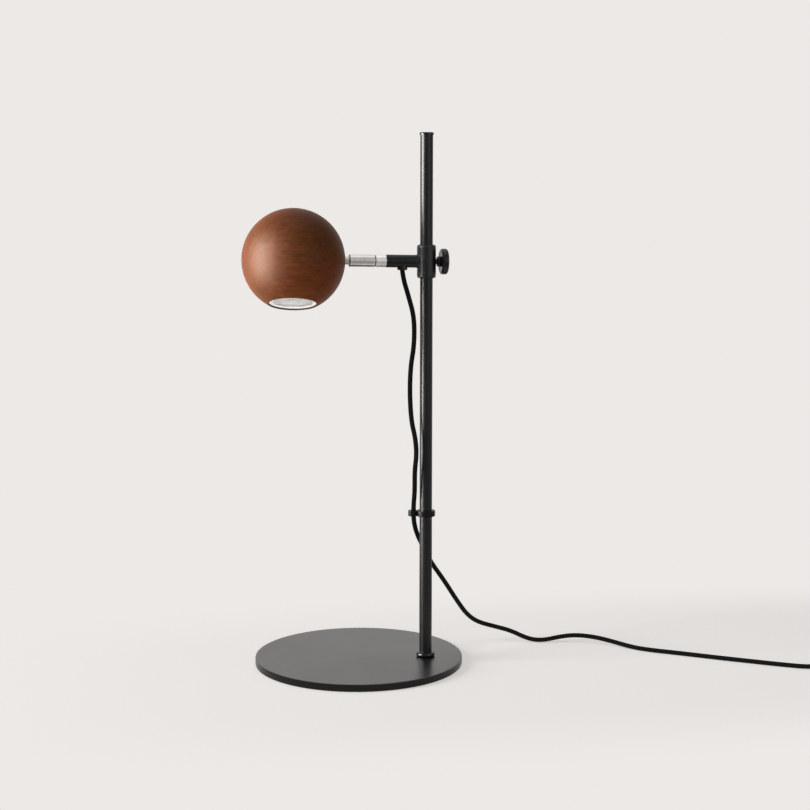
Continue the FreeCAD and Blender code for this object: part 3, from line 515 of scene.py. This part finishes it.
def wood_figure(shader, streak, fibre):
    """Stained colour: streaks, fibres, flecks and patches, a slow drift, and painted shade on the arm's
    side and top.
    """
    fleck = wood_noise(shader, (190, 330, 330), 3, 0.6)
    patch = wood_noise(shader, (14, 20, 20), 3, 0.5)
    tone = shader.math("MULTIPLY", streak, 0.40)
    for layer, share in ((fibre, 0.15), (fleck, 0.20), (patch, 0.25)):
        tone = shader.math("ADD", tone, shader.math("MULTIPLY", layer, share))
    colour = shader.ramp(tone, (0.38, WOOD_DARK), (0.50, WOOD_MIDDLE), (0.62, WOOD_LIGHT))
    drift = wood_noise(shader, (26, 34, 34), 2, 0.5)
    stain = shader.ramp(drift, (0.35, (1.0, 0.84, 0.84)), (0.65, (0.90, 1.0, 0.94)))
    colour = shader.mix(1.0, colour, stain, "MULTIPLY")
    # Painted shade: the colour darkens towards the arm's side and the top of the ball.
    across = shader.node("VectorMath", {0: shader.place(BALL), 1: PAINTED_SHADE_SIDE}, operation="DOT_PRODUCT")
    side = shader.ramp(
        shader.spread(across.outputs["Value"], 0.0, 1.0, -BALL_R, BALL_R),
        (0.1, (1.0, 1.0, 1.0)), (0.5, (0.86, 0.84, 0.82)), (0.95, (0.52, 0.48, 0.46)))
    return shader.mix(1.0, colour, side, "MULTIPLY")


def inside_mouth(shader):
    """1 inside the hole that the light module sits in, and 0 elsewhere."""
    upright = HEAD_FRAME.to_3x3().inverted().to_euler("XYZ")
    parts = shader.node("SeparateXYZ", {0: shader.place(BALL, upright)})
    from_axis = shader.node("CombineXYZ", {"X": parts.outputs[0], "Y": parts.outputs[1]}).outputs[0]
    from_axis = shader.node("VectorMath", {0: from_axis}, operation="LENGTH").outputs["Value"]
    narrow = shader.math("LESS_THAN", from_axis, MOUTH_R)
    return shader.math("MULTIPLY", narrow, shader.math("LESS_THAN", parts.outputs[2], 0.0))


def wood():
    """Reddish-brown stained wood under satin lacquer: growth lines, fine fibres and pores."""
    shader = Shader(
        "stained_wood", Specular_IOR_Level=0.15, Specular_Tint=(0.84, 1.0, 0.90, 1.0), Sheen_Weight=0.06,
        Sheen_Roughness=0.35)
    fibre = wood_noise(shader, (110, 1400, 1400), 3, 0.6)
    streak = wood_noise(shader, (48, 330, 420), 4, 0.62)
    pores = shader.spread(wood_noise(shader, (240, 2600, 2600), 1, 0.4), 0, 1, 0.62, 0.74)
    colour = wood_figure(shader, streak, fibre)
    colour = shader.mix(shader.math("MULTIPLY", growth_lines(shader), 0.32), colour, WOOD_LINE)
    colour = shader.mix(shader.math("MULTIPLY", pores, 0.40), colour, WOOD_LINE)
    # Painted shade: the wall of the hole that the light module sits in is darkened.
    colour = shader.mix(shader.math("MULTIPLY", inside_mouth(shader), 0.75), colour, PAINTED_MOUTH_SHADE)
    gloss = shader.spread(streak, 0.48, 0.57, 0.3, 0.7)
    sunk = shader.math("MULTIPLY", pores, 0.6)
    relief = shader.math("SUBTRACT", shader.math("MULTIPLY", fibre, 0.5), sunk)
    return shader.finish(colour, gloss, relief, 0.00005, 0.6)


def braid():
    """Tight two-way textile braid: strands pass over and under each other round the cord."""
    strands = 14
    pitch = 0.0017
    shader = Shader("cord_braid", Specular_IOR_Level=0.08)
    uv = shader.node("UVMap", uv_map="along").outputs[0]
    parts = shader.node("SeparateXYZ", {0: uv})
    around = shader.math("MULTIPLY", parts.outputs[0], float(strands))
    along = shader.math("DIVIDE", parts.outputs[1], pitch)
    waves = []
    for operation in ("ADD", "SUBTRACT"):
        slant = shader.math("MULTIPLY", shader.math(operation, around, along), math.pi)
        waves.append(shader.math("SINE", slant))
    over = shader.math("GREATER_THAN", shader.math("MULTIPLY", waves[0], waves[1]), 0.0)
    ridges = [shader.math("ABSOLUTE", wave) for wave in waves]
    first = shader.math("MULTIPLY", ridges[0], over)
    second = shader.math("MULTIPLY", ridges[1], shader.math("SUBTRACT", 1.0, over))
    height = shader.math("ADD", first, second)
    fuzz = shader.noise(shader.place(), 4200, 2, 0.6)
    height = shader.math("ADD", height, shader.math("MULTIPLY", fuzz, 0.4))
    wear = shader.spread(shader.noise(shader.place(), 60, 3), 0.8, 1.2, 0.3, 0.7)
    # Partly painted shade: the colour is darker where the braid's relief is low, in the grooves between
    # strands, with a random tone from wear on top.
    tone = shader.math("MULTIPLY", height, wear)
    colour = shader.ramp(tone, (0.1, (0.004, 0.004, 0.004)), (0.9, (0.017, 0.017, 0.0175)))
    gloss = shader.spread(height, 0.85, 0.62)
    return shader.finish(colour, gloss, height, 0.00022, 0.8)


TUBE_COAT = powder_coat("tube_coat", 0.28, 0.30, 0.34, 0.000006)
CLIP_COAT = powder_coat("clip_coat", 0.13, 0.30, 0.34, 0.000006)
BASE_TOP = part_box("base_plate")[1][2]
BASE_COAT = powder_coat("base_coat", 0.95, 0.26, 0.32, 0.000004, rim_top=BASE_TOP - RIM_DROP)
CAST = cast_black()
WOOD = wood()
BRAID = braid()
GLOSS_BLACK = grained(
    "gloss_black", (0.010, 0.010, 0.0105), 0.20, 700, 0.00002, Specular_IOR_Level=0.35)
KNOB_BLACK = grained(
    "knob_black", (0.008, 0.008, 0.008), 0.32, 520, 0.00003, Specular_IOR_Level=0.06, Coat_Weight=0.5,
    Coat_Roughness=0.20)
SLEEVE_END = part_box("coupling_sleeve")[0][0]
NICKEL = brushed("satin_nickel", (0.68, 0.67, 0.64), 0.25, (9000, 90, 90), SLEEVE_END, Anisotropic=0.4)
RING_NICKEL = brushed("ring_nickel", (0.86, 0.86, 0.84), 0.40, (9000, 90, 90))
PALE_BRASS = brushed("pale_brass", (0.56, 0.53, 0.46), 0.32, (4200, 60, 60))
BRASS = brushed("brass", (0.72, 0.56, 0.30), 0.28, (3000, 300, 300))
STEEL = brushed("zinc_steel", (0.55, 0.55, 0.56), 0.34, (700, 700, 2600))
BRIGHT = brushed("bright_plate", (0.78, 0.78, 0.79), 0.14, (300, 2400, 300))
ALUMINIUM = brushed("aluminium", (0.76, 0.77, 0.78), 0.36, (240, 240, 2000))
MOULDED = grained("moulded_plastic", (0.019, 0.019, 0.020), 0.46, 1700, 0.00005)
POLISHED = grained("polished_plastic", (0.014, 0.014, 0.0145), 0.24, 420, 0.00003)
SLIDING = grained("sliding_plastic", (0.09, 0.09, 0.092), 0.40, 800, 0.00003)
RUBBER = grained("soft_rubber", (0.020, 0.020, 0.020), 0.66, 2200, 0.00006)
FOAM = grained("foam_pad", (0.030, 0.030, 0.031), 0.88, 1300, 0.00022, drift=0.3)
STRAP = grained("woven_strap", (0.024, 0.024, 0.025), 0.82, 2400, 0.00018, drift=0.3)
CREAM = grained("cream_plastic", (0.70, 0.66, 0.53), 0.44, 1100, 0.00004, drift=0.08)
WHITE_TRIM = grained(
    "white_trim", (0.93, 0.93, 0.92), 0.26, 900, 0.00002, drift=0.04, Specular_IOR_Level=0.6)
BOARD = grained("circuit_board", (0.03, 0.20, 0.08), 0.36, 1500, 0.00005, drift=0.25)
WHITE_BOARD = grained("led_board", (0.80, 0.80, 0.77), 0.42, 1500, 0.00003, drift=0.05)
WIRE = grained("wire_skin", (0.32, 0.10, 0.05), 0.35, 900, 0.00002, drift=0.12)


def mirror_cone():
    """Slightly hazy metallised plastic."""
    shader = Shader("mirror_cone", Metallic=0.15)
    place = shader.place()
    haze = shader.noise(place, 420, 4, 0.6)
    colour = shader.ramp(haze, (0.3, (0.78, 0.78, 0.77)), (0.7, (0.97, 0.97, 0.96)))
    return shader.finish(colour, shader.spread(haze, 0.30, 0.46, 0.3, 0.7), haze, 0.00012, 0.5)


def clear_lens():
    """Clear moulded lens with a faint ripple and a glossy face."""
    shader = Shader(
        "clear_lens", Transmission_Weight=1.0, IOR=1.49, Coat_Weight=0.9, Coat_IOR=1.8,
        Coat_Roughness=0.10)
    place = shader.place()
    ripple = shader.noise(place, 260, 2, 0.5)
    colour = shader.ramp(ripple, (0.3, (0.96, 0.97, 0.965)), (0.7, (0.99, 0.99, 0.99)))
    return shader.finish(colour, shader.spread(ripple, 0.16, 0.26, 0.3, 0.7), ripple, 0.0001, 0.5)


dress(TUBE_COAT, "stem_tube", "arm_tube")
dress(CLIP_COAT, "cable_clip")
dress(BASE_COAT, "base_plate")
dress(CAST, "clamp_body")
dress(GLOSS_BLACK, "foot_collar", "stem_cap", "knob_screw")
dress(MOULDED, "switch_base", "switch_cover", "plug_body", "pin_sleeves")
dress(POLISHED, "switch_rocker")
dress(KNOB_BLACK, "thumb_knob", "cord_gland")
dress(RUBBER, "switch_relief_in", "switch_relief_out", "plug_relief")
dress(NICKEL, "coupling_sleeve")
dress(RING_NICKEL, "coupling_ring")
dress(PALE_BRASS, "neck_nipple")
dress(BRASS, "coupling_pin", "clamp_pad", "switch_contacts")
dress(
    STEEL, "base_washer", "base_screw", "foot_insert", "pin_clip", "neck_nut", "spring_clips",
    "switch_screws")
dress(BRIGHT, "plug_pins", "arm_magnet", "head_magnet")
dress(ALUMINIUM, "heat_sink", "module_housing")
dress(SLIDING, "clamp_liner", "coupling_washer")
dress(FOAM, "base_pad")
dress(STRAP, "cord_tie")
dress(CREAM, "driver_bracket", "terminal_block")
dress(WHITE_TRIM, "lens_bezel")
dress(BOARD, "driver_board")
dress(WHITE_BOARD, "led_board")
dress(WIRE, "arm_wires", "head_wires")
dress(mirror_cone(), "reflector")
dress(clear_lens(), "front_lens")
dress(WOOD, "wood_ball")
for cord in (upper_cord, main_cord):
    cord.data.materials.append(BRAID)


# ---------------------------------------------------------------- floor, backdrop and light
PAPER = (0.847, 0.815, 0.791)      # warm pale grey of the floor and backdrop
FLOOR_SIZE = 16.0
FLOOR_Z = -0.0001                  # just under the feet, so that no two faces share a plane
FLOOR_CENTRE = STEM + VIEW_RIGHT * 0.12      # middle of the lit floor
FADE_FROM = 0.45                   # sideways distance where the lit floor gives way to plain paper
FADE_TO = 0.95
FADE_NARROW = 3.2                  # how much sooner it does in front of and behind the lamp
FLOOR_LIFT = 0.57                  # glow of the paper besides the light that falls on it
FLOOR_BOUNCE = 0.28                # share of that glow that also lights other things
FRONT_GLOSS = 0.42                 # brightness that polished surfaces see in front of the lamp
TOP_GLOSS = 0.75                   # and above it
AMBIENT = 0.05                     # weak light from all round, for matt surfaces
AMBIENT_TINT = (1.0, 0.985, 0.97)


def floor_material():
    """Lit paper near the lamp that fades to plain paper, and to dark in front for mirrors."""
    shader = Shader("floor_paper", Roughness=0.9, Specular_IOR_Level=0.0)
    place = shader.place(FLOOR_CENTRE)
    fibre = shader.noise(place, 900)
    shader.finish(shader.ramp(fibre, (0.3, shade(PAPER, 1.055)), (0.7, shade(PAPER, 1.065))))
    path = shader.node("LightPath")
    behind = shader.node("VectorMath", {0: place, 1: tuple(VIEW_AWAY)}, operation="DOT_PRODUCT")
    mirrored = shader.node("MapRange", {
        "Value": behind.outputs["Value"], "From Min": -0.6, "From Max": 0.4, "To Min": FRONT_GLOSS,
        "To Max": 1.0}, interpolation_type="SMOOTHSTEP").outputs["Result"]
    seen = shader.math("MAXIMUM", path.outputs["Is Camera Ray"], path.outputs["Is Transmission Ray"])
    mirror = path.outputs["Is Glossy Ray"]
    either = shader.math("MAXIMUM", seen, mirror)
    strength = shader.math("MAXIMUM", seen, shader.math("MULTIPLY", mirror, mirrored))
    glow = shader.math("MULTIPLY", shader.math("MAXIMUM", either, FLOOR_BOUNCE), FLOOR_LIFT)
    lift = shader.node("Emission", {"Color": (*PAPER, 1), "Strength": glow})
    plain = shader.node("Emission", {"Color": (*PAPER, 1), "Strength": strength})
    near = shader.node("AddShader", {0: shader.surface.outputs[0], 1: lift.outputs[0]})
    narrow = shader.place(FLOOR_CENTRE, (0, 0, VIEW_TURN), (1, FADE_NARROW, 1))
    distance = shader.node("VectorMath", {0: narrow}, operation="LENGTH").outputs["Value"]
    fade = shader.node("MapRange", {
        "Value": distance, "From Min": FADE_FROM, "From Max": FADE_TO}, interpolation_type="SMOOTHSTEP")
    share = shader.math("MULTIPLY", fade.outputs["Result"], either)
    blend = shader.node("MixShader", {0: share, 1: near.outputs[0], 2: plain.outputs[0]})
    shader.tree.links.new(blend.outputs[0], shader.tree.nodes["Material Output"].inputs["Surface"])
    return shader.material


floor_mesh = bpy.data.meshes.new("floor")
half = FLOOR_SIZE / 2
floor_mesh.from_pydata(
    [(x, y, FLOOR_Z) for x, y in ((-half, -half), (half, -half), (half, half), (-half, half))],
    [], [(0, 1, 2, 3)])
floor_mesh.materials.append(floor_material())
floor = add_piece("floor", floor_mesh, smooth=False)


def painted_reflection_card():
    """Black card behind the lamp that only mirrors see: it paints a dark reflection along the nickel's
    lower edge.
    """
    near, far, half_width, height = 0.11, 0.34, 0.45, 0.0006
    corners = [(-half_width, near), (half_width, near), (half_width, far), (-half_width, far)]
    mesh = bpy.data.meshes.new("painted_reflection_card")
    mesh.from_pydata(
        [VIEW_RIGHT * right + VIEW_AWAY * away + UP * height for right, away in corners],
        [], [(0, 1, 2, 3)])
    mesh.materials.append(Shader("painted_reflection_card", Base_Color=(0.01, 0.01, 0.01, 1), Roughness=0.9).material)
    card = add_piece("painted_reflection_card", mesh, smooth=False)
    card.visible_camera = False
    card.visible_diffuse = False
    card.visible_shadow = False
    card.visible_transmission = False


painted_reflection_card()


def build_world():
    """Plain paper for the camera; for mirrors paper behind and above, and dark in front."""
    world = bpy.data.worlds.new("studio")
    bpy.context.scene.world = world
    world.use_nodes = True
    tree = world.node_tree
    tree.nodes.clear()
    path = add_node(tree, "LightPath")
    coordinates = add_node(tree, "TexCoord").outputs["Generated"]

    def rise(direction, low, high, top):
        """Brightness that goes up from the front's to top as a ray turns towards the direction."""
        along = add_node(
            tree, "VectorMath", {0: coordinates, 1: tuple(direction)}, operation="DOT_PRODUCT")
        return add_node(tree, "MapRange", {
            "Value": along.outputs["Value"], "From Min": low, "From Max": high, "To Min": FRONT_GLOSS,
            "To Max": top}, interpolation_type="SMOOTHSTEP").outputs["Result"]

    def glow(colour, strength):
        return add_node(tree, "Background", {"Color": (*colour, 1), "Strength": strength}).outputs[0]

    def choose(ray, otherwise, chosen):
        return add_node(tree, "MixShader", {0: path.outputs[ray], 1: otherwise, 2: chosen}).outputs[0]

    mirrored = add_node(tree, "Math", {
        0: rise(VIEW_AWAY, 0.30, 0.85, 1.0), 1: rise(UP, 0.20, 0.85, TOP_GLOSS)}, operation="MAXIMUM")
    seen = choose("Is Glossy Ray", glow(AMBIENT_TINT, AMBIENT), glow(PAPER, mirrored.outputs[0]))
    seen = choose("Is Transmission Ray", seen, glow(PAPER, 1.0))
    seen = choose("Is Camera Ray", seen, glow(PAPER, 1.0))
    add_node(tree, "OutputWorld", {"Surface": seen})


build_world()


def softbox(name, direction, distance, width, height, radiance, lights="both", only=()):
    """Area lamp that faces TARGET from a direction given as right, away and up.

    It lights matt surfaces, shows in mirrors, or both; with only, just those pieces get its light.
    """
    right, away, up = direction
    way = (VIEW_RIGHT * right + VIEW_AWAY * away + UP * up).normalized()
    lamp = bpy.data.lights.new(name, "AREA")
    lamp.shape = "RECTANGLE"
    lamp.size = width
    lamp.size_y = height
    lamp.energy = radiance * math.pi * width * height
    holder = bpy.data.objects.new(name, lamp)
    holder.location = TARGET + way * distance
    holder.rotation_euler = way.to_track_quat("Z", "Y").to_euler()
    holder.visible_diffuse = lights != "mirrors"
    holder.visible_glossy = lights != "matt"
    bpy.context.scene.collection.objects.link(holder)
    if only:
        receivers = bpy.data.collections.new(name)
        for piece in only:
            receivers.objects.link(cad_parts[piece])
        holder.light_linking.receiver_collection = receivers


# The key is a far lamp for matt surfaces, so that the floor is lit evenly. Near panels on the
# same side make the highlights, one on the upright pieces and one on the ball, and a low matt
# panel in front lights the head's mouth.
UPRIGHT_PIECES = [
    "stem_tube", "stem_cap", "foot_collar", "cable_clip", "clamp_body", "arm_tube", "coupling_ring",
    "coupling_washer", "coupling_sleeve", "neck_nipple",
]
MOUTH_PIECES = ["lens_bezel", "front_lens", "reflector"]
TARGET = Vector((STEM.x, STEM.y, 0.30))
# name, direction, distance, width, height, radiance, what it lights, pieces
softbox("key", (-0.91, -0.32, 0.26), 4.4, 1.8, 3.4, 7.1, "matt")
softbox("key_panel", (-0.94, -0.23, 0.15), 0.85, 0.54, 0.84, 30.0, "mirrors", UPRIGHT_PIECES)
softbox("ball_panel", (-0.93, -0.31, 0.12), 0.85, 0.54, 0.90, 31.0, "mirrors", ["wood_ball"])
softbox("mouth_panel", (-0.05, -0.93, -0.30), 0.75, 0.50, 0.12, 26.0, "matt", MOUTH_PIECES)
softbox("overhead", (0.0, 0.15, 1.0), 4.0, 3.6, 3.6, 0.6)
softbox("fill", (0.35, -0.92, 0.15), 3.6, 3.0, 3.2, 0.12, "matt")
softbox("fill_panel", (0.74, -0.67, 0.12), 3.3, 2.8, 3.0, 1.2, "mirrors")

bpy.context.scene.view_settings.view_transform = "Standard"
